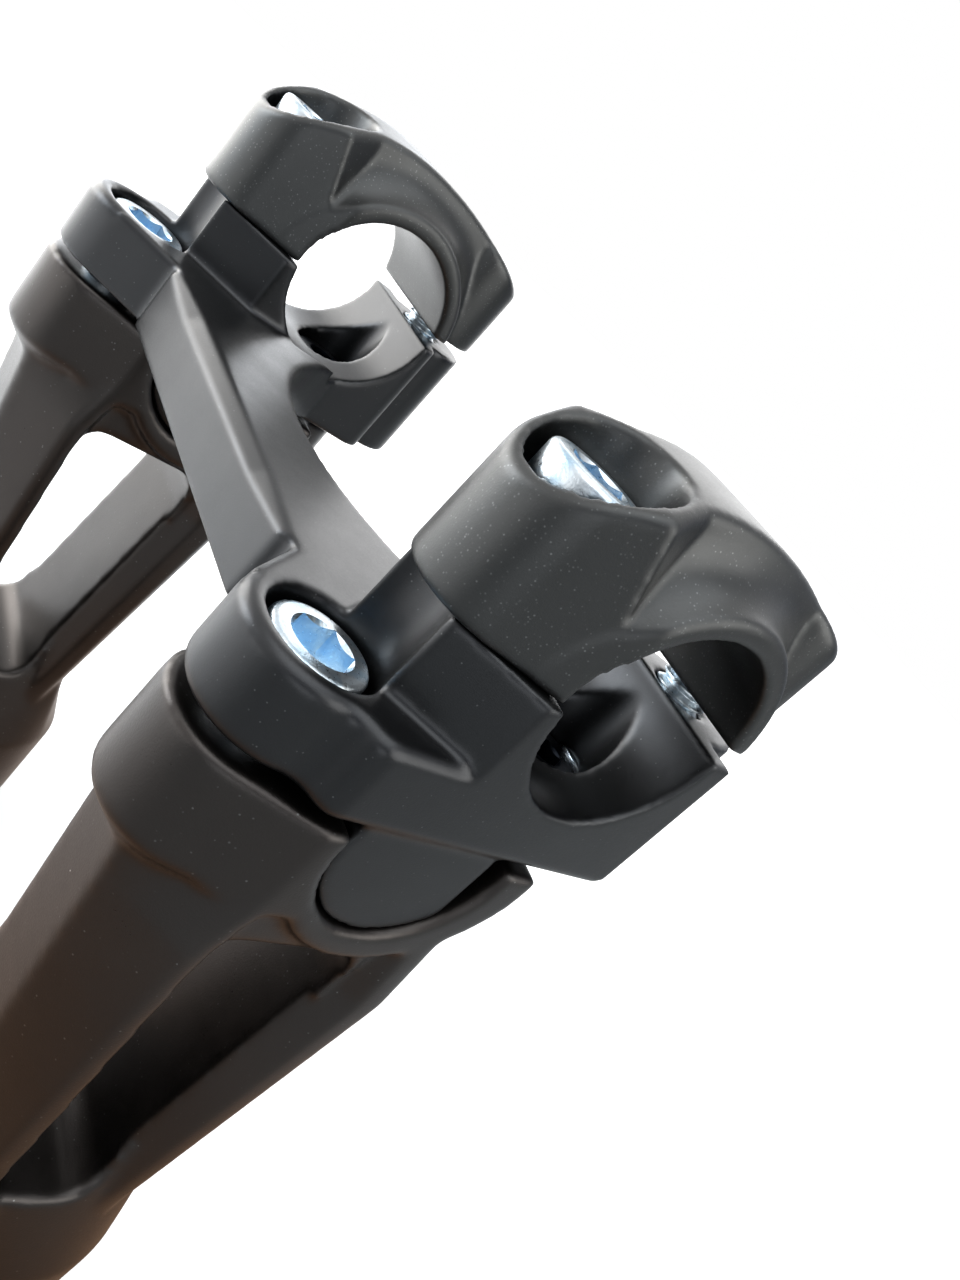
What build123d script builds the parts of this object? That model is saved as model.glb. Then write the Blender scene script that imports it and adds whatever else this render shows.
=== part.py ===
from build123d import *
from math import asin, degrees, sqrt
import os

# Handlebar riser: two machined legs carry a one-piece bridge with the lower halves of two
# handlebar clamps, and a bolted cap closes each clamp.
# Origin: midway between the two yoke bolts, on the underside of the feet.
# +X points back towards the rider, +Y from the left leg to the right one, +Z up. Millimetres.

os.makedirs("parts", exist_ok=True)

# Handlebar, yoke and overall height
bar_diameter = 25.4
clamp_spacing = 88.9
clamp_width = 25.4
bar_height = 126.6
bar_setback = 6.1

# Bridge
deck_drop = 10.8
bridge_thickness = 9.8
bridge_front_setback = 28.1
bridge_waist = 13.0
bridge_scoop_depth = 19.0
bridge_bevel_height = 1.6
bridge_bevel_width = 2.1
bevel_full_reach = 17.0
bevel_end_share = 0.4
shoulder_reach = 14.25
shoulder_inset = 1.5
shoulder_round = 1.3
boss_radius = 9.0
boss_bevel = 0.9
flank_start = 2.4
flank_round = 3.0

# Lower clamp half and its post under the cap's front end
front_split_drop = 1.3
rear_split_rise = 0.4
post_nose_setback = 23.9
post_nose_width = 9.9
post_shoulder_setback = 14.7
block_rear_reach = 16.4
block_corner_radius = 1.6
block_inner_round = 4.0

# Lug under the clamp, and the cup in the leg that holds it
lug_setback = 9.0
lug_drop = 23.3
lug_radius = 11.0
lug_side_step = 0.8
lug_rear_reach = 8.4
lug_clearance = 0.3
cup_outer_radius = 15.2
cup_outer_shift = 1.2

# Cap
cap_gap = 2.2
cap_crown = 21.1
cap_crest_setback = 1.6
cap_front_arc = 35.0
cap_rear_arc = 60.0
cap_band_width = 14.0
cap_ring_radius = 15.3
cap_cove_radius = 6.4
cap_nose_radius = 8.4
cap_flank_start = (-4.1, 7.3)
cap_flank_foot = (6.5, 12.4)
cap_flank_ridge = (-0.5, 9.05)
cap_flank_depth = 6.0
cap_edge_round = 1.0
crown_slope = 0.8
rear_boss_radius = 8.6

# Bolts
cap_bolt_reach = 17.7
cap_bolt_shank = 7.0
cap_bolt_core = 6.4
cap_bolt_head = 11.0
cap_bolt_head_height = 7.0
cap_bolt_socket = 6.0
cap_counterbore = 14.0
cap_head_rise = 14.9
rear_counterbore = 11.8
rear_head_sink = 0.4
cap_thread_length = 13.0
riser_bolt_shank = 8.0
riser_bolt_core = 7.0
riser_bolt_head = 11.2
riser_bolt_head_height = 5.6
riser_bolt_socket = 6.3
riser_counterbore = 13.0
riser_head_sink = 0.8
riser_thread_length = 24.0
saddle_bolt_reach = 6.9
saddle_bolt_head = 10.4
saddle_bolt_head_height = 4.0
saddle_bolt_socket = 5.0
saddle_counterbore = 11.2
saddle_head_sink = 13.4
saddle_thread_length = 20.0
hole_clearance = 0.5
thread_clearance = 0.1
socket_depth_share = 0.55
head_bevel = 0.5

# Leg
leg_gap = 1.3
leg_boss_radius = 9.2
leg_boss_height = 12.0
leg_boss_cone = 2.6
leg_neck_radius = 6.6
rear_boss_height = 13.0
rear_boss_cone = 8.0
front_face_width = 9.2
prong_top_drop = 8.0
prong_shoulder_drop = 18.6
front_prong_top = (-6.6, 5.1, 7.0)
front_prong_shoulder = (-4.8, 2.9, 5.2)
front_prong_waist = (0.9, 5.0, 8.0)
front_prong_foot = (6.8, 12.4, 15.0)
rear_prong_top = (23.6, 27.6, 30.3, 32.3)
rear_prong_kink = (25.6, 29.6, 32.8, 34.8)
rear_prong_foot = (20.0, 23.4, 25.8, 27.8)
rear_kink_drop = 24.4
rear_face_width = 18.6
rear_back_width = 21.4
web_width = 22.4
web_front = 4.0
web_drop = 4.0
web_depth = 23.0
window_top = (5.0, 25.0)
window_kink = 25.8
window_floor = (8.6, 21.9)
window_top_drop = 17.7
window_corner_radius = 4.0
window_floor_height = 38.0

# Foot
foot_diameter = 32.0
foot_height = 24.0
waist_height = 46.0
foot_chamfer = 1.0
yoke_bolt_hole = 10.8
yoke_bolt_depth = 30.0

# Places that follow from the sizes above
side_y = clamp_spacing / 2
half_width = clamp_width / 2
bore_radius = bar_diameter / 2
bar_x = bar_setback
bar_z = bar_height
deck_z = bar_z - deck_drop
bridge_under_z = deck_z - bridge_thickness
leg_top_z = bridge_under_z - leg_gap
riser_bolt_x = bar_x - bridge_front_setback
saddle_bolt_x = bar_x + saddle_bolt_reach
front_cap_bolt_x = bar_x - cap_bolt_reach
rear_cap_bolt_x = bar_x + cap_bolt_reach
front_split_z = bar_z - front_split_drop
rear_split_z = bar_z + rear_split_rise
cap_rear_z = rear_split_z + cap_gap
lug_x = bar_x - lug_setback
lug_z = bar_z - lug_drop
cup_radius = lug_radius + lug_clearance
bar_axis = Axis((bar_x, 0, bar_z), (0, 1, 0))
left = -side_y


def side_plane(y):
    """Sketch plane across the bar: local x is +X and local y is +Z."""
    return Plane.XZ.offset(-y)


def mirrored(half):
    """Points above the centre line, then the same points below it, in order."""
    return half + [(x, -y) for x, y in reversed(half)]


# Bridge, with both lower clamp halves, lugs and rear tabs in one piece
with BuildPart() as clamp_bridge:
    for y in (-side_y, side_y):
        # Deck level: the round boss and the flared block behind it
        with BuildPart(mode=Mode.PRIVATE) as deck:
            with BuildSketch(Plane.XY.offset(bridge_under_z)) as outline:
                with Locations((riser_bolt_x, y)):
                    Circle(boss_radius)
                with Locations((0, y)):
                    flank = [
                        (bar_x - post_shoulder_setback, half_width),
                        (riser_bolt_x + flank_start, half_width),
                        (riser_bolt_x, boss_radius),
                    ]
                    Polygon(*mirrored(flank), align=None)
                fillet(outline.vertices().sort_by(Axis.X)[:4], flank_round)
            extrude(amount=bridge_thickness)
            rim = deck.edges().group_by(Axis.Z)[-1]
            chamfer(rim.filter_by(lambda edge: (edge.center().Y - y) * y > -boss_radius), boss_bevel)
        add(deck.part)
        # Clamp block up to the rear split, with the wedge-shaped post in front
        with BuildSketch(Plane.XY.offset(bridge_under_z)):
            with Locations((0, y)):
                block = [
                    (bar_x + block_rear_reach, half_width),
                    (bar_x - post_shoulder_setback, half_width),
                    (bar_x - post_nose_setback, post_nose_width / 2),
                ]
                Polygon(*mirrored(block), align=None)
        extrude(amount=rear_split_z - bridge_under_z)
        upright = clamp_bridge.edges().filter_by(Axis.Z).group_by(Axis.X)[-1]
        fillet(upright.sort_by(lambda edge: abs(edge.center().Y))[0], block_inner_round)
        across = clamp_bridge.edges().filter_by(Axis.Y).group_by(Axis.Z)[0]
        fillet(across.group_by(Axis.X)[-1], block_corner_radius)
        # Round tab for the rear cap bolt
        with BuildSketch(Plane.XY.offset(bridge_under_z)):
            with Locations((rear_cap_bolt_x, y)):
                Circle(rear_boss_radius)
        extrude(amount=rear_split_z - bridge_under_z)
        # Half-round lug under the clamp
        with BuildSketch(side_plane(y)):
            with Locations((lug_x, lug_z)):
                Circle(lug_radius)
            with Locations((lug_x + lug_rear_reach, lug_z)):
                Rectangle(lug_radius, 3 * lug_radius, align=(Align.MIN, Align.CENTER), mode=Mode.SUBTRACT)
            with Locations((lug_x, bridge_under_z)):
                Rectangle(3 * lug_radius, 2 * lug_radius, align=(Align.CENTER, Align.MIN), mode=Mode.SUBTRACT)
        extrude(amount=half_width - lug_side_step, both=True)
    # Bar between the bosses: straight in front, one deep scoop behind
    with BuildSketch(Plane.XY.offset(bridge_under_z)) as bar_outline:
        front_x = riser_bolt_x
        shoulder_y = side_y - shoulder_reach
        rear_y = side_y - half_width
        scoop_end_x = front_x + bridge_waist + bridge_scoop_depth
        tangent = boss_radius * sqrt(0.5)
        with BuildLine():
            Polyline(
                (scoop_end_x, -rear_y),
                (front_x, -rear_y - boss_radius / 2),
                (front_x - tangent, -side_y + tangent),
                (front_x + shoulder_inset, -shoulder_y),
                (front_x, -shoulder_y + shoulder_inset),
                (front_x, shoulder_y - shoulder_inset),
                (front_x + shoulder_inset, shoulder_y),
                (front_x - tangent, side_y - tangent),
                (front_x, rear_y + boss_radius / 2),
                (scoop_end_x, rear_y),
            )
            ThreePointArc((scoop_end_x, rear_y), (front_x + bridge_waist, 0), (scoop_end_x, -rear_y))
        make_face()
        shoulders = bar_outline.vertices().filter_by(lambda corner: abs(corner.Y) < shoulder_y + shoulder_round)
        fillet(shoulders.filter_by(lambda corner: corner.X < front_x + bridge_waist), shoulder_round)
    extrude(amount=bridge_thickness)
    # Long bevel along the bar's front edge, narrower towards both shoulders
    bevel_levels = (
        (-shoulder_y, bevel_end_share),
        (-bevel_full_reach, 1),
        (bevel_full_reach, 1),
        (shoulder_y, bevel_end_share),
    )
    for y, share in bevel_levels:
        with BuildSketch(side_plane(y)):
            Polygon(
                (front_x, deck_z - share * bridge_bevel_height),
                (front_x + share * bridge_bevel_width, deck_z),
                (front_x, deck_z),
                align=None,
            )
    loft(ruled=True, mode=Mode.SUBTRACT)
    for y in (-side_y, side_y):
        # Handlebar bore, then the front half is lowered to its own split
        with BuildSketch(side_plane(y)):
            with Locations((bar_x, bar_z)):
                Circle(bore_radius)
            with Locations((bar_x, front_split_z)):
                Rectangle(4 * bore_radius, bar_diameter, align=(Align.MAX, Align.MIN))
        extrude(amount=half_width + 1, both=True, mode=Mode.SUBTRACT)
        # Counterbore for the riser bolt's head, carried up into the post's nose
        with BuildSketch(Plane.XY.offset(deck_z - riser_head_sink - riser_bolt_head_height)):
            with Locations((riser_bolt_x, y)):
                Circle(riser_counterbore / 2)
        extrude(amount=bar_height, mode=Mode.SUBTRACT)
        with BuildSketch(Plane.XY.offset(bridge_under_z)):
            with Locations((riser_bolt_x, y)):
                Circle((riser_bolt_shank + hole_clearance) / 2)
        extrude(amount=bridge_thickness, mode=Mode.SUBTRACT)
        # Counterbored hole in the clamp floor for the bolt behind the lug
        with BuildSketch(Plane.XY.offset(bar_z - saddle_head_sink - saddle_bolt_head_height)):
            with Locations((saddle_bolt_x, y)):
                Circle(saddle_counterbore / 2)
        extrude(amount=bar_diameter, mode=Mode.SUBTRACT)
        with BuildSketch(Plane.XY.offset(bridge_under_z)):
            with Locations((saddle_bolt_x, y)):
                Circle((cap_bolt_shank + hole_clearance) / 2)
        extrude(amount=bridge_thickness, mode=Mode.SUBTRACT)
        # Tapped hole for the front cap bolt
        with BuildSketch(Plane.XY.offset(front_split_z)):
            with Locations((front_cap_bolt_x, y)):
                Circle(cap_bolt_core / 2 + thread_clearance)
        extrude(amount=-cap_thread_length - thread_clearance, mode=Mode.SUBTRACT)
        # Clearance hole and counterbore from below for the rear cap bolt
        with BuildSketch(Plane.XY.offset(bridge_under_z)):
            with Locations((rear_cap_bolt_x, y)):
                Circle((cap_bolt_shank + hole_clearance) / 2)
        extrude(amount=bar_diameter, mode=Mode.SUBTRACT)
        with BuildSketch(Plane.XY.offset(bridge_under_z)):
            with Locations((rear_cap_bolt_x, y)):
                Circle(rear_counterbore / 2)
        extrude(amount=rear_head_sink + cap_bolt_head_height, mode=Mode.SUBTRACT)
clamp_bridge.part.label = "clamp_bridge"


# Cap: a band over the bar with a wider ring at the bore, and a boss at each end
with BuildPart() as clamp_cap_left:
    crest_x = bar_x - cap_crest_setback
    crest_z = bar_z + cap_crown
    front_end_x = front_cap_bolt_x - cap_nose_radius
    rear_end_x = rear_cap_bolt_x + rear_boss_radius
    # Ring, cove and band are one turned shape about the bar
    with BuildSketch(Plane.YZ.offset(bar_x)):
        with BuildLine():
            cove_y = cap_band_width / 2 + cap_cove_radius
            ring_z = bar_z + cap_ring_radius
            outer_z = bar_z + 2 * cap_front_arc
            Polyline(
                (left - cap_band_width / 2, ring_z + cap_cove_radius),
                (left - cap_band_width / 2, outer_z),
                (left + cap_band_width / 2, outer_z),
                (left + cap_band_width / 2, ring_z + cap_cove_radius),
            )
            RadiusArc(
                (left + cap_band_width / 2, ring_z + cap_cove_radius),
                (left + cove_y, ring_z),
                -cap_cove_radius,
            )
            Polyline(
                (left + cove_y, ring_z),
                (left + half_width, ring_z),
                (left + half_width, bar_z + bore_radius),
                (left - half_width, bar_z + bore_radius),
                (left - half_width, ring_z),
                (left - cove_y, ring_z),
            )
            RadiusArc(
                (left - cove_y, ring_z),
                (left - cap_band_width / 2, ring_z + cap_cove_radius),
                -cap_cove_radius,
            )
        make_face()
    revolve(axis=bar_axis)
    # Bosses around the two cap bolts
    with BuildSketch(Plane.XY.offset(front_split_z)):
        with Locations((front_cap_bolt_x, left)):
            Circle(cap_nose_radius)
        with Locations((rear_cap_bolt_x, left)):
            Circle(rear_boss_radius)
    extrude(amount=2 * cap_crown)
    # Upright flanks that spread from the nose to the full width
    for level, ridge in ((front_split_z, cap_flank_foot), (crest_z, cap_flank_ridge)):
        with BuildSketch(Plane.XY.offset(level)):
            with Locations((front_cap_bolt_x, left)):
                wedge = [(ridge[0] + cap_flank_depth, cap_band_width / 2), ridge, cap_flank_start]
                Polygon(*mirrored(wedge), align=None)
    loft(ruled=True)
    # Plan outline, rounded at both ends
    with BuildSketch(Plane.XY.offset(front_split_z)):
        with Locations((front_cap_bolt_x, left)):
            Circle(cap_nose_radius)
            flank = [(2 * cap_bolt_reach, half_width), (cap_flank_foot[0], half_width), cap_flank_start]
            Polygon(*mirrored(flank), align=None)
        with Locations((rear_cap_bolt_x, left)):
            Circle(rear_boss_radius)
    extrude(amount=2 * cap_crown, mode=Mode.INTERSECT)
    # Side outline of the whole cap: two long arcs meet at the crest
    with BuildSketch(side_plane(left)):
        with BuildLine():
            front_sweep = degrees(asin((crest_x - front_end_x) / cap_front_arc))
            rear_sweep = degrees(asin((rear_end_x - crest_x) / cap_rear_arc))
            front_arc = CenterArc((crest_x, crest_z - cap_front_arc), cap_front_arc, 90, front_sweep)
            rear_arc = CenterArc((crest_x, crest_z - cap_rear_arc), cap_rear_arc, 90, -rear_sweep)
            Polyline(
                front_arc @ 1,
                (front_end_x, front_split_z),
                (bar_x, front_split_z),
                (bar_x, cap_rear_z),
                (rear_end_x, cap_rear_z),
                rear_arc @ 1,
            )
        make_face()
    extrude(amount=half_width, both=True, mode=Mode.INTERSECT)
    # Rounding all along the rim of the two long arcs
    crown = clamp_cap_left.faces().filter_by(lambda face: face.normal_at().Z > crown_slope)
    fillet([edge for edge in crown.edges() if edge.geom_type != GeomType.LINE], cap_edge_round)
    with BuildSketch(side_plane(left)):
        with Locations((bar_x, bar_z)):
            Circle(bore_radius)
    extrude(amount=half_width, both=True, mode=Mode.SUBTRACT)
    # Counterbore and hole for the front bolt, tapped blind hole for the rear one
    with BuildSketch(Plane.XY.offset(bar_z + cap_head_rise - cap_bolt_head_height)):
        with Locations((front_cap_bolt_x, left)):
            Circle(cap_counterbore / 2)
    extrude(amount=cap_crown, mode=Mode.SUBTRACT)
    with BuildSketch(Plane.XY.offset(front_split_z)):
        with Locations((front_cap_bolt_x, left)):
            Circle((cap_bolt_shank + hole_clearance) / 2)
    extrude(amount=cap_crown, mode=Mode.SUBTRACT)
    with BuildSketch(Plane.XY.offset(cap_rear_z)):
        with Locations((rear_cap_bolt_x, left)):
            Circle(cap_bolt_core / 2 + thread_clearance)
    extrude(amount=cap_thread_length + thread_clearance, mode=Mode.SUBTRACT)
clamp_cap_left.part.label = "clamp_cap_left"


# Leg: front boss, cup and rear boss on two prongs that meet in a round foot
with BuildPart() as riser_leg_left:
    boss_foot_z = leg_top_z - leg_boss_height
    cup_front_x = lug_x + cup_outer_shift - cup_outer_radius
    # Front boss flared into the cup block
    with BuildSketch(Plane.XY.offset(leg_top_z)):
        with Locations((riser_bolt_x, left)):
            Circle(leg_boss_radius)
        with Locations((cup_front_x, left)):
            Rectangle(cup_outer_radius, clamp_width, align=(Align.MIN, Align.CENTER))
        make_hull()
    extrude(amount=-leg_boss_height)
    with BuildSketch(Plane.XY.offset(boss_foot_z)):
        with Locations((riser_bolt_x, left)):
            Circle(leg_boss_radius)
    with BuildSketch(Plane.XY.offset(boss_foot_z - leg_boss_cone)):
        with Locations((riser_bolt_x, left)):
            Circle(leg_neck_radius)
    loft()
    # Outer half round of the cup
    with BuildSketch(side_plane(left)):
        with Locations((lug_x + cup_outer_shift, lug_z)):
            Circle(cup_outer_radius)
        with Locations((lug_x, leg_top_z)):
            Rectangle(4 * cup_outer_radius, 2 * cup_outer_radius, align=(Align.CENTER, Align.MIN), mode=Mode.SUBTRACT)
    extrude(amount=half_width, both=True)
    # Rear boss, running out into the rear prong
    with BuildSketch(Plane.XY.offset(leg_top_z)):
        with Locations((saddle_bolt_x, left)):
            Circle(rear_boss_radius)
    extrude(amount=-rear_boss_height)
    with BuildSketch(Plane.XY.offset(leg_top_z - rear_boss_height)):
        with Locations((saddle_bolt_x, left)):
            Circle(rear_boss_radius)
    with BuildSketch(Plane.XY.offset(leg_top_z - rear_boss_height - rear_boss_cone)):
        with Locations((saddle_bolt_x - rear_boss_cone, left)):
            Circle(rear_boss_radius)
    loft()
    # Front prong, from inside the boss down to the foot
    prong_top_z = leg_top_z - prong_top_drop
    front_levels = (
        (prong_top_z, front_prong_top),
        (leg_top_z - prong_shoulder_drop, front_prong_shoulder),
        (waist_height, front_prong_waist),
        (foot_height, front_prong_foot),
    )
    for level, (face_x, crease_x, window_x) in front_levels:
        with BuildSketch(Plane.XY.offset(level)):
            with Locations((riser_bolt_x, left)):
                section = [
                    (window_x, half_width),
                    (crease_x, half_width),
                    (face_x, front_face_width / 2),
                ]
                Polygon(*mirrored(section), align=None)
    loft(ruled=True)
    # Rear prong, bent at its kink
    kink_z = leg_top_z - rear_kink_drop
    rear_levels = (
        (prong_top_z, rear_prong_top),
        (kink_z, rear_prong_kink),
        (foot_height, rear_prong_foot),
    )
    for level, (face_x, flank_x, crease_x, back_x) in rear_levels:
        with BuildSketch(Plane.XY.offset(level)):
            with Locations((riser_bolt_x, left)):
                section = [
                    (back_x, rear_back_width / 2),
                    (crease_x, half_width),
                    (flank_x, half_width),
                    (face_x, rear_face_width / 2),
                ]
                Polygon(*mirrored(section), align=None)
    loft(ruled=True)
    # Round foot, and the waist that gathers the prongs into it
    with BuildSketch(Plane.XY):
        with Locations((0, left)):
            Circle(foot_diameter / 2)
    extrude(amount=foot_height)
    chamfer(riser_leg_left.edges().group_by(Axis.Z)[0], foot_chamfer)
    with BuildSketch(Plane.XY.offset(foot_height)):
        with Locations((0, left)):
            Circle(foot_diameter / 2)
    with BuildSketch(Plane.XY.offset(waist_height)):
        with Locations((riser_bolt_x + front_prong_waist[1], left)):
            waist_depth = rear_prong_foot[3] - front_prong_waist[1]
            Rectangle(waist_depth, rear_back_width, align=(Align.MIN, Align.CENTER))
    loft()
    # Web between the prongs, and the window under it with its round corners
    with BuildSketch(Plane.XY.offset(leg_top_z - web_drop)):
        with Locations((riser_bolt_x + web_front, left)):
            Rectangle(window_kink - web_front, web_width, align=(Align.MIN, Align.CENTER))
    extrude(amount=-web_depth)
    with BuildSketch(side_plane(left)) as window:
        with Locations((riser_bolt_x, 0)):
            corners = [
                (window_floor[0], window_floor_height),
                (window_top[0], leg_top_z - window_top_drop),
                (window_top[1], leg_top_z - window_top_drop),
                (window_kink, kink_z),
                (window_floor[1], window_floor_height),
            ]
            Polygon(*corners, align=None)
        fillet(window.vertices(), window_corner_radius)
    extrude(amount=half_width, both=True, mode=Mode.SUBTRACT)
    # Cup for the lug
    with BuildSketch(side_plane(left)):
        with Locations((lug_x, lug_z)):
            Circle(cup_radius)
    extrude(amount=half_width, both=True, mode=Mode.SUBTRACT)
    # Tapped holes for the two bolts from above and the yoke bolt from below
    with BuildSketch(Plane.XY.offset(leg_top_z)):
        with Locations((riser_bolt_x, left)):
            Circle(riser_bolt_core / 2 + thread_clearance)
    extrude(amount=-riser_thread_length - leg_gap, mode=Mode.SUBTRACT)
    with BuildSketch(Plane.XY.offset(leg_top_z)):
        with Locations((saddle_bolt_x, left)):
            Circle(cap_bolt_core / 2 + thread_clearance)
    extrude(amount=-saddle_thread_length - leg_gap, mode=Mode.SUBTRACT)
    with BuildSketch(Plane.XY):
        with Locations((0, left)):
            Circle(yoke_bolt_hole / 2)
    extrude(amount=yoke_bolt_depth, mode=Mode.SUBTRACT)
riser_leg_left.part.label = "riser_leg_left"


def socket_bolt(place, direction, head, head_height, shank, shank_length, core, core_length, socket):
    """Socket head bolt: place is under the head, and the shank runs along direction."""
    seat = Plane(origin=place, z_dir=direction)
    with BuildPart() as bolt:
        with BuildSketch(seat.offset(-head_height)):
            Circle(head / 2)
        extrude(amount=head_height)
        chamfer(bolt.edges().filter_by(GeomType.CIRCLE).sort_by(Axis(place, direction))[0], head_bevel)
        with BuildSketch(seat):
            Circle(shank / 2)
        extrude(amount=shank_length)
        with BuildSketch(seat.offset(shank_length)):
            Circle(core / 2)
        extrude(amount=core_length)
        with BuildSketch(seat.offset(-head_height)):
            RegularPolygon(socket / 2, 6, major_radius=False)
        extrude(amount=socket_depth_share * head_height, mode=Mode.SUBTRACT)
    return bolt.part


riser_seat_z = deck_z - riser_head_sink - riser_bolt_head_height
cap_seat_z = bar_z + cap_head_rise - cap_bolt_head_height
rear_seat_z = bridge_under_z + rear_head_sink + cap_bolt_head_height
saddle_seat_z = bar_z - saddle_head_sink - saddle_bolt_head_height

bolts = {
    "riser_bolt_left": socket_bolt(
        (riser_bolt_x, left, riser_seat_z), (0, 0, -1), riser_bolt_head, riser_bolt_head_height,
        riser_bolt_shank, riser_seat_z - bridge_under_z, riser_bolt_core, leg_gap + riser_thread_length,
        riser_bolt_socket),
    "saddle_bolt_left": socket_bolt(
        (saddle_bolt_x, left, saddle_seat_z), (0, 0, -1), saddle_bolt_head, saddle_bolt_head_height,
        cap_bolt_shank, saddle_seat_z - bridge_under_z, cap_bolt_core, leg_gap + saddle_thread_length,
        saddle_bolt_socket),
    "cap_front_bolt_left": socket_bolt(
        (front_cap_bolt_x, left, cap_seat_z), (0, 0, -1), cap_bolt_head, cap_bolt_head_height,
        cap_bolt_shank, cap_seat_z - front_split_z, cap_bolt_core, cap_thread_length, cap_bolt_socket),
    "cap_rear_bolt_left": socket_bolt(
        (rear_cap_bolt_x, left, rear_seat_z), (0, 0, 1), cap_bolt_head, cap_bolt_head_height,
        cap_bolt_shank, cap_rear_z - rear_seat_z, cap_bolt_core, cap_thread_length, cap_bolt_socket),
}

# Write the left pieces, their mirror images on the right, and the bridge
left_pieces = {"riser_leg_left": riser_leg_left.part, "clamp_cap_left": clamp_cap_left.part, **bolts}
export_step(clamp_bridge.part, "parts/clamp_bridge.step")
for name, piece in left_pieces.items():
    piece.label = name
    export_step(piece, f"parts/{name}.step")
    right_name = name.replace("left", "right")
    right_piece = mirror(piece, about=Plane.XZ)
    right_piece.label = right_name
    export_step(right_piece, f"parts/{right_name}.step")
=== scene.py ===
# %% [markdown]
# # A handlebar riser in black anodised aluminium
# Two machined legs stand on the motorcycle's yoke. A one-piece bridge joins them and carries the lower
# halves of two handlebar clamps, and a bolted cap closes each clamp. The legs, the bridge and the caps are
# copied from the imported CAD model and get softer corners, and the eight bolts are modelled again. The
# rest of the lesson is about finish, light and camera.

import math

import bpy
from mathutils import Matrix, Vector


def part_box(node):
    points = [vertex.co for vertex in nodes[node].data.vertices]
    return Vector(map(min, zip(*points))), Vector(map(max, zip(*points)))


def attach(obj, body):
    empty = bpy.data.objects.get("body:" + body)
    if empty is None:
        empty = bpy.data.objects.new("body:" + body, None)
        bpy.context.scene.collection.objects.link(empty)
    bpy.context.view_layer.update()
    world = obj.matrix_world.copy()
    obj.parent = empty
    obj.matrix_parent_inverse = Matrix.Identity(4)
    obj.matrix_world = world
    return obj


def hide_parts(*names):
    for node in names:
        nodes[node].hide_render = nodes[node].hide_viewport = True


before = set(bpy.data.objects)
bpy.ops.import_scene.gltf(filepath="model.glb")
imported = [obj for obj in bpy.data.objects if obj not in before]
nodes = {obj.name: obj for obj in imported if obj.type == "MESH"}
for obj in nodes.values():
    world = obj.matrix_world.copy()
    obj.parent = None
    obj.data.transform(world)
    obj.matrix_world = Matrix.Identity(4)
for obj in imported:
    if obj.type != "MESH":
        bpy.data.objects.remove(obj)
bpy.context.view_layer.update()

# %% [markdown]
# ## Helpers for materials
# Blender keeps colours as linear light, while a hex value is sRGB, so one function converts them.
# A second one adds a shader node: it sets the node's own settings, and then each input gets a value or a
# link from another node's output. Three short ones build on it for the steps that come up most: mapping a
# value to a new range, mixing two colours, and arithmetic. Sizes are written in millimetres, because that
# is how a machinist thinks of grit and wear, and one constant turns them into Blender's metres.

# %% Colour, size and node helpers
MM = 0.001
WHITE = (1.0, 1.0, 1.0, 1.0)


def colour(code):
    """Linear RGBA of an sRGB hex colour."""
    parts = [int(code[i : i + 2], 16) / 255 for i in (1, 3, 5)]
    linear = [p / 12.92 if p <= 0.04045 else ((p + 0.055) / 1.055) ** 2.4 for p in parts]
    return (*linear, 1.0)


def per_mm(size):
    """Texture scale at which one pattern cell is this many millimetres across."""
    return 1 / (size * MM)


def add(tree, kind, inputs=None, **settings):
    """Add a node of one kind to a node tree, with its settings, values and links."""
    made = tree.nodes.new(kind)
    for name, value in settings.items():
        setattr(made, name, value)
    for socket, value in (inputs or {}).items():
        if isinstance(value, bpy.types.NodeSocket):
            tree.links.new(value, made.inputs[socket])
        else:
            made.inputs[socket].default_value = value
    return made


def ramp(tree, value, start, end, low=0.0, high=1.0, **settings):
    """Map a value, so that start gives low and end gives high, with no change beyond them."""
    inputs = {"Value": value, "From Min": start, "From Max": end, "To Min": low, "To Max": high}
    return add(tree, "ShaderNodeMapRange", inputs, **settings).outputs["Result"]


def blend(tree, share, first, second):
    """Mix two colours: a share of zero shows the first, one the second."""
    inputs = {"Factor": share, "A": first, "B": second}
    return add(tree, "ShaderNodeMix", inputs, data_type="RGBA").outputs["Result"]


def calculate(tree, operation, first, second):
    """Arithmetic on two values."""
    return add(tree, "ShaderNodeMath", {0: first, 1: second}, operation=operation).outputs[0]


def new_material(name):
    """An empty node material, and its tree."""
    material = bpy.data.materials.new(name)
    material.use_nodes = True
    material.node_tree.nodes.clear()
    return material, material.node_tree


print("1 mm cells need a texture scale of", per_mm(1.0))

# %% [markdown]
# ## Painted glints, dust, and worn edges with a painted highlight
# The legs, bridge and caps are aluminium, milled, then blasted with glass beads and anodised black. Three
# small things lie on top of the colour. Single facets of the blasted metal flash in the light, and these
# glints are painted into the colour as lighter dots. Here and there sits a speck of pale dust. Both are
# small dots in some cells of a cell pattern, chosen by the cell's random colour. The edges are painted
# lighter: partly real wear, since the coating is thinner on sharp edges and handling polishes them, and
# partly a painted highlight. The Bevel node gives a normal that is rounded near an edge, so an edge is
# where it turns away from the face's own.

# %% Painted glints, dust, and worn edges with a painted highlight
FACET_CELL = 1.4  # grains
# size and strength of the painted glints: facets painted lighter, as if they flash
PAINTED_GLINT_DOT = (0.45, 0.15)  # from the dot's rim to its bright middle, in cells
PAINTED_GLINT_STRENGTH = 0.3
DUST_CELL = 3.2  # mm
DUST_DOT = (0.035, 0.02)
# edges: where the lighter colour starts and is full, and how much lighter it is; partly real wear, partly a
# painted highlight
EDGE_TURN = (0.97, 0.75)  # cosine of the turn at which wear starts, and at which it is full
EDGE_WEAR_AND_HIGHLIGHT = 0.35


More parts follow.
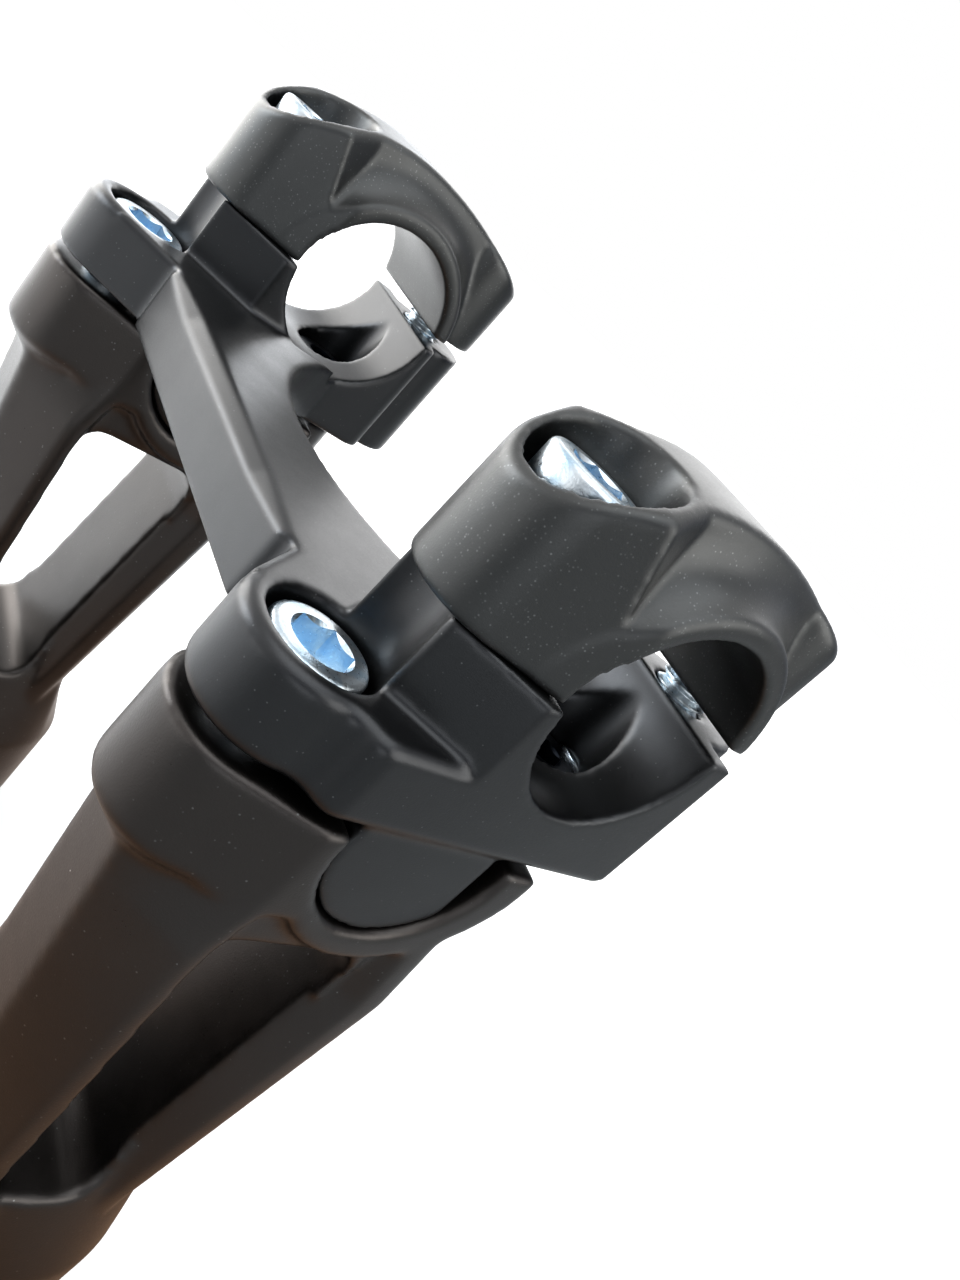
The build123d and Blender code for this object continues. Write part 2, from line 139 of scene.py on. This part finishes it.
def painted_glints_in(tree, place, grain, share):
    """Painted glint: single facets painted lighter, as if they flash, in this share of the cells."""
    cells = add(tree, "ShaderNodeTexVoronoi", {"Vector": place, "Scale": per_mm(grain * FACET_CELL)})
    tone = add(tree, "ShaderNodeSeparateColor", {"Color": cells.outputs["Color"]})
    lit = ramp(tree, tone.outputs["Red"], 1 - share, 1.0, high=PAINTED_GLINT_STRENGTH)
    return calculate(tree, "MULTIPLY", lit, ramp(tree, cells.outputs["Distance"], *PAINTED_GLINT_DOT))


def dust_on(tree, place, share):
    """Specks of dust, in this share of the cells."""
    cells = add(tree, "ShaderNodeTexVoronoi", {"Vector": place, "Scale": per_mm(DUST_CELL)})
    tone = add(tree, "ShaderNodeSeparateColor", {"Color": cells.outputs["Color"]})
    chosen = calculate(tree, "GREATER_THAN", tone.outputs["Green"], 1 - share)
    return calculate(tree, "MULTIPLY", chosen, ramp(tree, cells.outputs["Distance"], *DUST_DOT))


def edge_wear_and_highlight_at(tree, rounded):
    """Lighter edges, partly real wear and partly a painted highlight, from the rounded normal."""
    flat = add(tree, "ShaderNodeNewGeometry").outputs["Normal"]
    turn = add(tree, "ShaderNodeVectorMath", {0: rounded, 1: flat}, operation="DOT_PRODUCT")
    return ramp(tree, turn.outputs["Value"], *EDGE_TURN, high=EDGE_WEAR_AND_HIGHLIGHT)


print("dust cells:", DUST_CELL, "mm")

# %% [markdown]
# ## Black anodised aluminium
# The blasting leaves fine dimples that scatter a highlight into a satin sheen. The dyed oxide makes the
# metal nearly black where it is seen square on, and silvery grey at a glancing angle, as any metal's
# reflection rises there. So it is a metallic surface with a very dark colour and a medium roughness. The
# sealed top of the oxide is clear, which a thin coat stands for. It follows the rounded edges, but not the
# dimples under it.
#
# The dye changes a little over a few centimetres. Smudges from handling and the dimples change the
# roughness. The finishes differ, because the pieces were blasted and anodised in separate batches.

# %% Black anodised aluminium
CLOUD_SIZE = 22.0  # mm
SMUDGE_SIZE = 7.0  # mm
SHEEN_RANGE = (0.6, 1.4)  # middle part of the sum of two patterns
SHEEN_SPREAD = 0.10
DIMPLE_RELIEF = 0.10
OXIDE_COAT = {"Coat Weight": 0.5, "Coat Roughness": 0.30}
# colours of the painted glints, of the edges (real wear with a painted highlight), and of the dust
PAINTED_GLINT_COLOUR, WORN_AND_HIGHLIT_EDGE, DUST = colour("#a8abab"), colour("#7e8080"), colour("#e4e6e6")


def anodised(name, dark, pale, roughness, grain, painted_glint_share, dust, edge_width):
    """Bead-blasted black anodised aluminium with painted glints: grain and edge_width are in mm, the glint
    and dust arguments are shares.
    """
    material, tree = new_material(name)
    place = add(tree, "ShaderNodeTexCoord").outputs["Object"]
    cloud = add(tree, "ShaderNodeTexNoise", {"Vector": place, "Scale": per_mm(CLOUD_SIZE), "Detail": 3.0})
    dimples = add(tree, "ShaderNodeTexNoise", {"Vector": place, "Scale": per_mm(grain), "Detail": 2.0})
    smudges = add(tree, "ShaderNodeTexNoise", {"Vector": place, "Scale": per_mm(SMUDGE_SIZE),
                                               "Detail": 5.0, "Roughness": 0.65})
    rounded = add(tree, "ShaderNodeBevel", {"Radius": edge_width * MM}, samples=4).outputs["Normal"]
    dye = blend(tree, cloud.outputs["Fac"], colour(dark), colour(pale))
    # painted glints: some facets are painted lighter, as if they flash in the light
    with_painted_glints = blend(tree, painted_glints_in(tree, place, grain, painted_glint_share), dye, PAINTED_GLINT_COLOUR)
    # edges painted lighter: partly real wear, partly a painted highlight
    worn_and_highlit_edges = blend(tree, edge_wear_and_highlight_at(tree, rounded), with_painted_glints, WORN_AND_HIGHLIT_EDGE)
    dusty = blend(tree, dust_on(tree, place, dust), worn_and_highlit_edges, DUST)
    blasted = calculate(tree, "ADD", dimples.outputs["Fac"], smudges.outputs["Fac"])
    sheen = ramp(tree, blasted, *SHEEN_RANGE, roughness - SHEEN_SPREAD, roughness + SHEEN_SPREAD)
    relief = add(tree, "ShaderNodeBump", {"Height": dimples.outputs["Fac"], "Strength": DIMPLE_RELIEF,
                                          "Distance": grain * MM, "Normal": rounded})
    metal = add(tree, "ShaderNodeBsdfPrincipled",
                {"Base Color": dusty, "Metallic": 1.0, "Roughness": sheen,
                 "Normal": relief.outputs["Normal"], "Coat Normal": rounded, **OXIDE_COAT})
    add(tree, "ShaderNodeOutputMaterial", {"Surface": metal.outputs["BSDF"]})
    print("material", name, "nodes:", len(tree.nodes))
    return material


# the glint argument is the share of cells with a painted glint
leg_finish = anodised("leg_black_anodised_aluminium", "#2f2c2b", "#3f3a37", roughness=0.36, grain=0.24,
                      painted_glint_share=0.02, dust=0.02, edge_width=0.6)
bridge_finish = anodised("bridge_black_anodised_aluminium", "#262729", "#333436", roughness=0.38,
                         grain=0.18, painted_glint_share=0.02, dust=0.02, edge_width=0.5)
cap_finish = anodised("cap_bead_blasted_anodised_aluminium", "#363737", "#464747", roughness=0.43,
                      grain=0.20, painted_glint_share=0.16, dust=0.025, edge_width=0.8)

# %% [markdown]
# ## Zinc plated and black oxide steel
# The bolts are steel with a bright zinc plating, passivated blue. The plating is a smooth metal, so it
# mirrors the room in hard light and dark shapes. The passivation is a film thinner than a wavelength,
# which tints the metal from silver to sky blue as its thickness changes. Down in the socket the colour is
# paler and bluer: partly the real blue film, partly a painted reflection of light. The saddle bolts, deep
# in the clamps, are dark: their black oxide is a film too, so the same function makes it from two dark
# colours.

# %% Zinc plated and black oxide steel
FILM_PATCH = 2.6  # mm
PLATING_GRAIN = 0.35  # mm
PLATING_SHEEN = (0.20, 0.42)
PLATING_RELIEF = 0.12


def plated(name, clear, tinted, film_from, film_to):
    """Plated steel whose tinted film shows between two values of a cloudy pattern."""
    material, tree = new_material(name)
    place = add(tree, "ShaderNodeTexCoord").outputs["Object"]
    film = add(tree, "ShaderNodeTexNoise", {"Vector": place, "Scale": per_mm(FILM_PATCH), "Detail": 2.0})
    share = ramp(tree, film.outputs["Fac"], film_from, film_to)
    pits = add(tree, "ShaderNodeTexNoise", {"Vector": place, "Scale": per_mm(PLATING_GRAIN)})
    relief = add(tree, "ShaderNodeBump", {"Height": pits.outputs["Fac"], "Strength": PLATING_RELIEF,
                                          "Distance": PLATING_GRAIN * MM})
    metal = add(tree, "ShaderNodeBsdfPrincipled",
                {"Base Color": blend(tree, share, colour(clear), colour(tinted)), "Metallic": 1.0,
                 "Roughness": ramp(tree, pits.outputs["Fac"], 0.0, 1.0, *PLATING_SHEEN),
                 "Normal": relief.outputs["Normal"]})
    add(tree, "ShaderNodeOutputMaterial", {"Surface": metal.outputs["BSDF"]})
    print("material", name, "nodes:", len(tree.nodes))
    return material


zinc_finish = plated("blue_passivated_zinc_plated_steel", "#dfe7ec", "#b4cfe2", 0.45, 0.75)
# the socket: paler and bluer than the head, the real blue film with a painted reflection
socket_finish_with_painted_reflection = plated("blue_zinc_with_painted_reflection_in_the_socket", "#e2f0f9", "#b4d6f0", 0.35, 0.60)
oxide_finish = plated("black_oxide_steel", "#23272d", "#1b2330", 0.40, 0.70)

# %% [markdown]
# ## Modelling with operators
# The pieces are modelled as by hand: a primitive is added at its size and place, then shaped. Everything
# is deselected first, because an operator acts on all that is selected. Edges are chosen in code by their
# place.

# %% Selection helpers
def deselect():
    """Leave edit mode and select nothing."""
    if bpy.context.object and bpy.context.object.mode != "OBJECT":
        bpy.ops.object.mode_set(mode="OBJECT")
    bpy.ops.object.select_all(action="DESELECT")


def activate(piece, others=()):
    """Select a piece, and others with it, and make the piece the active one."""
    deselect()
    for chosen in (*others, piece):
        chosen.select_set(True)
    bpy.context.view_layer.objects.active = piece


def pick_edges(piece, test):
    """Select the piece's edges whose two ends pass the test, and enter edit mode."""
    activate(piece)
    bpy.ops.object.mode_set(mode="EDIT")
    bpy.ops.mesh.select_mode(type="EDGE")
    bpy.ops.mesh.select_all(action="DESELECT")
    bpy.ops.object.mode_set(mode="OBJECT")
    corners = piece.data.vertices
    for edge in piece.data.edges:
        if all(test(corners[i].co) for i in edge.vertices):
            edge.select = True
    bpy.ops.object.mode_set(mode="EDIT")


def cut(piece, tool):
    """Take the tool's solid out of the piece."""
    activate(piece)
    change = piece.modifiers.new("cut", "BOOLEAN")
    change.operation = "DIFFERENCE"
    change.solver = "EXACT"
    change.object = tool
    bpy.ops.object.modifier_apply(modifier=change.name)
    bpy.data.objects.remove(tool)


def placed():
    """The piece that was just added, with its place moved into its mesh."""
    bpy.ops.object.transform_apply(location=True, rotation=False, scale=False)
    return bpy.context.object


def cylinder(radius, low, high, sides):
    """A closed cylinder round the Z axis between two heights, in millimetres."""
    deselect()
    bpy.ops.mesh.primitive_cylinder_add(vertices=sides, radius=radius * MM, depth=(high - low) * MM,
                                        location=(0, 0, (low + high) / 2 * MM))
    return placed()


# %% [markdown]
# ## Blasted blends on the legs, the bridge and the caps
# Tumbling and blasting leave no sharp corner on a leg or a cap: every edge is broken, and every inner
# corner keeps the radius of the cutter. So these pieces are shown as a copy of the CAD piece, built again
# from even small faces, whose corners are then relaxed. A relaxed flat face stays flat, so only the
# corners turn round. A finer grain and fewer rounds keep them crisper. The copy rides on the same body and
# takes the CAD piece's place.
#
# In each leg the ends of two bolt holes come through the outside: the saddle bolt's at the foot of the
# rear boss, and the riser bolt's in the front face. A ball round each end, joined before the piece is
# built again, closes them.

# %% Soften the machined pieces
BLENDS = {
    "leg": {"grain": 0.50, "rounds": 14, "finish": leg_finish},
    "cap": {"grain": 0.36, "rounds": 11, "finish": cap_finish},
    "bridge": {"grain": 0.42, "rounds": 7, "finish": bridge_finish},
}
MACHINED = {
    "riser_leg_left": "leg",
    "riser_leg_right": "leg",
    "clamp_cap_left": "cap",
    "clamp_cap_right": "cap",
    "clamp_bridge": "bridge",
}
PLUGS = {
    "saddle_bolt": {"radius": 4.6, "inward": 0.0, "rise": 1.5},
    "riser_bolt": {"radius": 4.0, "inward": 0.9, "rise": 0.8},
}
BLEND_FACTOR = 0.5
BLEND_ANGLE = math.radians(35)


def plug(bolt_kind, side, radius, inward, rise):
    """Ball round the end of a bolt, moved back from the leg's front and up from the bolt's tip, in mm."""
    deselect()
    low, high = (Vector(corner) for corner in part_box(f"{bolt_kind}_{side}"))
    axis = (low + high) / 2
    bpy.ops.mesh.primitive_uv_sphere_add(radius=radius * MM,
                                         location=(axis.x + inward * MM, axis.y, low.z + rise * MM))
    return placed()


def soften(name, slot):
    """Copy a CAD piece and round its corners over a few grains."""
    look = BLENDS[slot]
    made = bpy.data.objects.new(name + "_blasted", nodes[name].data.copy())
    made.data.name = made.name
    made.data.transform(nodes[name].matrix_world)
    bpy.context.collection.objects.link(made)
    if slot == "leg":
        side = name.split("_")[-1]
        activate(made, [plug(kind, side, **place) for kind, place in PLUGS.items()])
        bpy.ops.object.join()
    activate(made)
    rebuilt = made.modifiers.new("rebuilt", "REMESH")
    rebuilt.mode = "VOXEL"
    rebuilt.voxel_size = look["grain"] * MM
    relaxed = made.modifiers.new("relaxed", "SMOOTH")
    relaxed.factor = BLEND_FACTOR
    relaxed.iterations = look["rounds"]
    for change in (rebuilt, relaxed):
        bpy.ops.object.modifier_apply(modifier=change.name)
    bpy.ops.object.shade_smooth_by_angle(angle=BLEND_ANGLE)
    made.data.materials.clear()
    made.data.materials.append(look["finish"])
    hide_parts(name)
    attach(made, "root")
    print(made.name, "faces:", len(made.data.polygons))


for name, slot in MACHINED.items():
    soften(name, slot)

# %% [markdown]
# ## Socket head bolts
# A socket head bolt is a turned cylinder with a rounded rim, a hexagonal hole with a small lead-in, and a
# rolled thread. The rim is a bevelled ring of edges. The hole is a six-sided cylinder cut out of the head,
# and its lead-in a cone. The thread is one tooth's profile, which the Screw modifier winds round the axis,
# so it is a real helix. Each bolt is modelled upright at the origin, with its head's top at zero, and then
# takes its place from the CAD node that it stands for. A bolt that comes up from below is turned over.

# %% Head and shank
SIDES = 72
NEAR = 0.1  # mm, how close counts as being at a height
RIM_STEPS = 5
BROKEN_EDGE_STEPS = 2
HEAD_UNDERSIDE = 0.2
SOCKET_CLEARANCE = 1.0
LEAD_IN = 0.5
LEAD_IN_RISE = 0.15 * LEAD_IN


def head(radius, height, rim, socket, depth):
    """Bolt head with its top at zero: rim is the rounding's radius, socket the width across flats."""
    body = cylinder(radius, -height, 0, SIDES)
    pick_edges(body, lambda co: co.z > -NEAR * MM)
    bpy.ops.mesh.bevel(offset=rim * MM, segments=RIM_STEPS, profile=0.5, affect="EDGES")
    pick_edges(body, lambda co: co.z < (NEAR - height) * MM)
    bpy.ops.mesh.bevel(offset=HEAD_UNDERSIDE * MM, segments=BROKEN_EDGE_STEPS, profile=0.5, affect="EDGES")
    corner = socket / math.sqrt(3)
    cut(body, cylinder(corner, -depth, SOCKET_CLEARANCE, 6))
    deselect()
    bpy.ops.mesh.primitive_cone_add(vertices=SIDES, radius1=(corner - LEAD_IN) * MM,
                                    radius2=(corner + LEAD_IN) * MM, depth=2 * LEAD_IN * MM,
                                    location=(0, 0, LEAD_IN_RISE * MM))
    cut(body, placed())
    return body


def shank(radius, low, high, rim):
    """Round bar between two heights, with its lower rim broken."""
    body = cylinder(radius, low, high, SIDES)
    pick_edges(body, lambda co: co.z < (low + NEAR) * MM)
    bpy.ops.mesh.bevel(offset=rim * MM, segments=BROKEN_EDGE_STEPS, profile=0.5, affect="EDGES")
    deselect()
    return body


print("hexagonal sockets with a lead-in of", LEAD_IN, "mm")

# %% Thread
THREAD_PITCH = 1.25
THREAD_STEPS = 36
THREAD_DEPTH = 0.6 * THREAD_PITCH
CREST = (0.42 * THREAD_PITCH, 0.58 * THREAD_PITCH)
WELD = 0.01 * MM


def thread(radius, low, high):
    """Rolled thread between two heights: a tooth wound round the shank."""
    profile = [(radius - THREAD_DEPTH, 0.0), *((radius, rise) for rise in CREST),
               (radius - THREAD_DEPTH, THREAD_PITCH)]
    mesh = bpy.data.meshes.new("thread")
    mesh.from_pydata([(r * MM, 0, (low + z) * MM) for r, z in profile],
                     [(i, i + 1) for i in range(len(profile) - 1)], [])
    body = bpy.data.objects.new("thread", mesh)
    bpy.context.collection.objects.link(body)
    activate(body)
    wind = body.modifiers.new("wind", "SCREW")
    wind.screw_offset = THREAD_PITCH * MM
    wind.iterations = int((high - low) / THREAD_PITCH) - 1
    wind.steps = wind.render_steps = THREAD_STEPS
    wind.use_merge_vertices = True
    wind.merge_threshold = WELD
    bpy.ops.object.modifier_apply(modifier=wind.name)
    bpy.ops.object.mode_set(mode="EDIT")
    bpy.ops.mesh.select_all(action="SELECT")
    bpy.ops.mesh.remove_doubles(threshold=WELD)
    bpy.ops.mesh.select_all(action="DESELECT")
    bpy.ops.mesh.select_non_manifold()
    bpy.ops.mesh.edge_face_add()
    bpy.ops.mesh.select_all(action="SELECT")
    bpy.ops.mesh.normals_make_consistent(inside=False)
    bpy.ops.object.mode_set(mode="OBJECT")
    return body


print("thread pitch:", THREAD_PITCH, "mm")

# %% [markdown]
# The parts are joined into one piece. The socket's walls and floor get the paler, bluer finish with its
# painted reflection, and are found by their place inside the head. The mesh is smoothed where its faces
# meet at less than 30 degrees, so the rim shines as round while the hexagon stays crisp.

# %% Assemble a bolt
OVERLAP = 0.2
THREAD_OVERLAP = 0.05
SHANK_RIM = 0.3
CRISP_ANGLE = math.radians(30)


def bolt(node, size):
    """Model a bolt and put it where its CAD node is, with the node's own length."""
    low, high = (Vector(corner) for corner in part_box(node))
    length = (high.z - low.z) / MM
    radius, under_head = size["shank"] / 2, -size["height"]
    plain_end = under_head - size["plain"]
    parts = [
        head(size["head"] / 2, size["height"], size["rim"], size["socket"], size["depth"]),
        shank(radius, plain_end, under_head + OVERLAP, SHANK_RIM),
        shank(radius - THREAD_DEPTH + THREAD_OVERLAP, -length, under_head, size["tip"]),
        thread(radius, -length + 2 * size["tip"], plain_end + THREAD_PITCH),
    ]
    activate(parts[0], parts[1:])
    bpy.ops.object.join()
    made = bpy.context.object
    made.name = made.data.name = node + "_plated"
    bpy.ops.object.shade_smooth_by_angle(angle=CRISP_ANGLE)
    made.data.materials.clear()
    for finish in size["finishes"]:
        made.data.materials.append(finish)
    # faces in the socket take the second finish, with its painted reflection
    reach = size["socket"] / math.sqrt(3) + NEAR
    for face in made.data.polygons:
        centre = face.center / MM
        in_depth = -size["depth"] - NEAR < centre.z < -2 * NEAR
        face.material_index = 1 if in_depth and math.hypot(centre.x, centre.y) < reach else 0
    middle = (low + high) / 2
    top = Vector((middle.x, middle.y, low.z if size["head_down"] else high.z))
    flip = Matrix.Rotation(math.pi, 4, "X") if size["head_down"] else Matrix.Identity(4)
    made.data.transform(Matrix.Translation(top) @ flip @ Matrix.Rotation(size["turn"], 4, "Z"))
    made.data.update()
    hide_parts(node)
    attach(made, "root")
    print(made.name, "faces:", len(made.data.polygons))
    return made


# %% [markdown]
# Sizes differ with the bolt's job: the riser bolts are the widest, the saddle bolts have low heads to stay
# clear of the handlebar, and the cap bolts at the back are fitted from below. Lengths are in millimetres,
# and the turn of the hexagon is in radians.

# %% Make the eight bolts
USUAL = {"shank": 7.0, "tip": 0.7, "head_down": False, "finishes": (zinc_finish, socket_finish_with_painted_reflection)}
bolt_sizes = {
    "riser_bolt": {"head": 11.2, "height": 5.6, "rim": 0.8, "socket": 6.3, "depth": 3.1, "plain": 5.0,
                   "turn": 0.3, "shank": 8.0},
    "saddle_bolt": {"head": 10.4, "height": 4.0, "rim": 0.5, "socket": 5.0, "depth": 2.2, "plain": 4.0,
                    "turn": 0.1, "tip": 2.0, "finishes": (oxide_finish, oxide_finish)},
    "cap_front_bolt": {"head": 11.0, "height": 7.0, "rim": 0.8, "socket": 6.0, "depth": 3.8,
                       "plain": 10.0, "turn": 0.5},
    "cap_rear_bolt": {"head": 11.0, "height": 7.0, "rim": 0.7, "socket": 6.0, "depth": 3.8,
                      "plain": 3.0, "turn": 0.2, "head_down": True},
}
bolts = [bolt(f"{kind}_{side}", USUAL | size) for kind, size in bolt_sizes.items()
         for side in ("left", "right")]
print("bolts:", len(bolts))

# %% [markdown]
# ## Floor
# The photograph has a plain white ground. A floor that only gave light would hide the object's shadow,
# so it is a pale matt surface with some light of its own for camera rays, and the shadow still falls on
# it. It gives less of its own light near the object, where the shadow lies. The metal mirrors something
# else: the legs in the photograph carry a brown cast from a table top, so in reflections the ground is
# brown round the feet, grey in front and white behind.

# %% Floor
FLOOR_SIZE = 6.0  # m
FLOOR_DROP = 0.5 * MM  # keeps the floor clear of the feet
WHITE_GROUND = Vector((-0.4, 0.9, 0.0))
WHITE_FROM, WHITE_FULL = -0.05, 0.2  # m, towards the white ground
BROWN_UNTIL, BROWN_FULL = 0.17, 0.08  # m, from the middle
GLOW_NEAR, GLOW_FAR = 0.05, 0.45  # m, from the middle
GLOW_LOW, GLOW_HIGH = 0.28, 0.95

deselect()
bpy.ops.mesh.primitive_plane_add(size=FLOOR_SIZE, location=(0, 0, -FLOOR_DROP))
floor = bpy.context.object
floor.name = "floor"
floor_paint, tree = new_material("pale_matt_floor")
ray = add(tree, "ShaderNodeLightPath")
place = add(tree, "ShaderNodeTexCoord").outputs["Object"]
away = add(tree, "ShaderNodeVectorMath", {0: place, 1: WHITE_GROUND}, operation="DOT_PRODUCT")
near = add(tree, "ShaderNodeVectorMath", {0: place}, operation="LENGTH")
pale = ramp(tree, away.outputs["Value"], WHITE_FROM, WHITE_FULL, interpolation_type="SMOOTHSTEP")
brown = ramp(tree, near.outputs["Value"], BROWN_UNTIL, BROWN_FULL, interpolation_type="SMOOTHSTEP")
reach = ramp(tree, near.outputs["Value"], GLOW_NEAR, GLOW_FAR, GLOW_LOW, GLOW_HIGH,
             interpolation_type="SMOOTHSTEP")
ground = blend(tree, brown, colour("#9c9fa1"), colour("#937056"))
mirrored_floor = blend(tree, pale, ground, WHITE)
shown = blend(tree, ray.outputs["Is Glossy Ray"], colour("#f2f2f2"), mirrored_floor)
glow = calculate(tree, "MULTIPLY", pale, ray.outputs["Is Glossy Ray"])
own_light = calculate(tree, "MAXIMUM", glow, ray.outputs["Is Camera Ray"])
paint = add(tree, "ShaderNodeBsdfPrincipled",
            {"Base Color": shown, "Roughness": 0.9, "Emission Color": WHITE,
             "Emission Strength": calculate(tree, "MULTIPLY", own_light, reach)})
add(tree, "ShaderNodeOutputMaterial", {"Surface": paint.outputs["BSDF"]})
floor.data.materials.append(floor_paint)
print("floor:", floor.dimensions.x, "m")

# %% [markdown]
# ## Studio light
# The world is white to the camera, and a soft grey light on matt surfaces. What the metal mirrors is a
# room that is white behind the object and turns to a dim blue grey on the side where the photographer
# stood, because black metal only shows its shape by what it reflects.

# %% World
BRIGHT_SIDE = Vector((-0.35, 0.80, 0.48)).normalized()
DIM_FROM, BRIGHT_FROM = -0.9, 0.5  # cosine of the angle to the bright side
DIM, BRIGHT = 0.18, 1.0
SOFT_LIGHT = 0.55

world = bpy.data.worlds.new("studio")
bpy.context.scene.world = world
world.use_nodes = True
tree = world.node_tree
tree.nodes.clear()
ray = add(tree, "ShaderNodeLightPath")
mirrored = calculate(tree, "MAXIMUM", ray.outputs["Is Glossy Ray"], ray.outputs["Is Transmission Ray"])
look = add(tree, "ShaderNodeTexCoord").outputs["Generated"]
side = add(tree, "ShaderNodeVectorMath", {0: look, 1: BRIGHT_SIDE}, operation="DOT_PRODUCT")
level = ramp(tree, side.outputs["Value"], DIM_FROM, BRIGHT_FROM, DIM, BRIGHT,
             interpolation_type="SMOOTHSTEP")
tint = blend(tree, level, colour("#4a6c98"), WHITE)
soft = add(tree, "ShaderNodeBackground", {"Color": colour("#e8ecef"), "Strength": SOFT_LIGHT})
room = add(tree, "ShaderNodeBackground", {"Color": tint, "Strength": level})
white = add(tree, "ShaderNodeBackground", {"Color": WHITE, "Strength": 1.0})
unseen = add(tree, "ShaderNodeMixShader", {0: mirrored, 1: soft.outputs[0], 2: room.outputs[0]})
mixed = add(tree, "ShaderNodeMixShader", {0: ray.outputs["Is Camera Ray"], 1: unseen.outputs[0],
                                          2: white.outputs[0]})
add(tree, "ShaderNodeOutputWorld", {"Surface": mixed.outputs[0]})
print("world nodes:", len(tree.nodes))

# %% [markdown]
# Softboxes stand where the photograph's faces are palest: the strongest far to the left, others above,
# behind and to the right, and two weak fills near the far clamp and in front. A lamp is aimed by turning
# its -Z axis to the object's middle. Distances and sizes are in metres, power in watts.

# %% Lamps
TARGET = Vector((0.0, 0.0, 0.10))


def softbox(name, direction, distance, size, power, tint):
    """A square area lamp that shines from a direction onto the object, unseen by the camera."""
    lamp = bpy.data.lights.new(name, "AREA")
    lamp.size = size
    lamp.energy = power
    lamp.color = colour(tint)[:3]
    box = bpy.data.objects.new(name, lamp)
    bpy.context.collection.objects.link(box)
    away = Vector(direction).normalized()
    box.location = TARGET + away * distance
    box.rotation_euler = away.to_track_quat("Z", "Y").to_euler()
    box.visible_camera = False
    print(name, "at", tuple(round(v, 2) for v in box.location))


softbox("left_softbox", (-0.42, 0.90, 0.05), 0.9, 0.9, 12.0, "#fffdf9")
softbox("far_fill", (-0.80, 0.60, 0.30), 0.28, 0.14, 0.35, "#e9f2fa")
softbox("front_fill", (-0.42, -0.90, 0.0), 0.9, 0.5, 1.4, "#f3f6f8")
softbox("rear_softbox", (0.25, 0.95, 0.12), 1.0, 0.5, 1.8, "#f4f9ff")
softbox("back_softbox", (0.70, 0.60, 0.36), 1.1, 0.7, 1.9, "#ffffff")
softbox("top_softbox", (-0.15, -0.25, 0.95), 0.9, 0.9, 4.0, "#f2f7fa")
softbox("right_softbox", (0.45, -0.80, 0.40), 0.9, 0.7, 5.0, "#fbfaf6")

# %% [markdown]
# ## Camera
# The photograph was taken close to the near clamp, with a wide lens and the phone turned by 45 degrees,
# so the legs run off the picture's corner. The camera's place and angles were worked out from the bolts,
# the bores and the edges of the clamps, whose real sizes are known. The turn is built in three steps:
# round the vertical, up from the horizontal, and the roll about the line of sight.

# %% Camera
CAMERA_PLACE = (-0.07684, -0.10624, 0.15261)
CAMERA_AZIMUTH = -48.28
CAMERA_ELEVATION = 18.28
CAMERA_ROLL = 45.21
LENS = 28.483
SENSOR = 36.0
CLIP_START = 0.005  # m, because the near clamp is only a hand's width away

camera_data = bpy.data.cameras.new("camera")
camera_data.lens = LENS
camera_data.sensor_width = SENSOR
camera_data.clip_start = CLIP_START
camera = bpy.data.objects.new("camera", camera_data)
bpy.context.collection.objects.link(camera)
camera.matrix_world = (
    Matrix.Translation(CAMERA_PLACE)
    @ Matrix.Rotation(math.radians(CAMERA_AZIMUTH), 4, "Z")
    @ Matrix.Rotation(math.radians(90 - CAMERA_ELEVATION), 4, "X")
    @ Matrix.Rotation(math.radians(CAMERA_ROLL), 4, "Z")
)
bpy.context.scene.camera = camera
bpy.context.scene.view_settings.view_transform = "Standard"
print("camera", CAMERA_PLACE)

# %% [markdown]
# ## Bring the scene up to date
# The dressed model must keep the CAD model's size. The last line brings the places of all objects up to
# date.

# %% Update the view layer
bpy.context.view_layer.update()
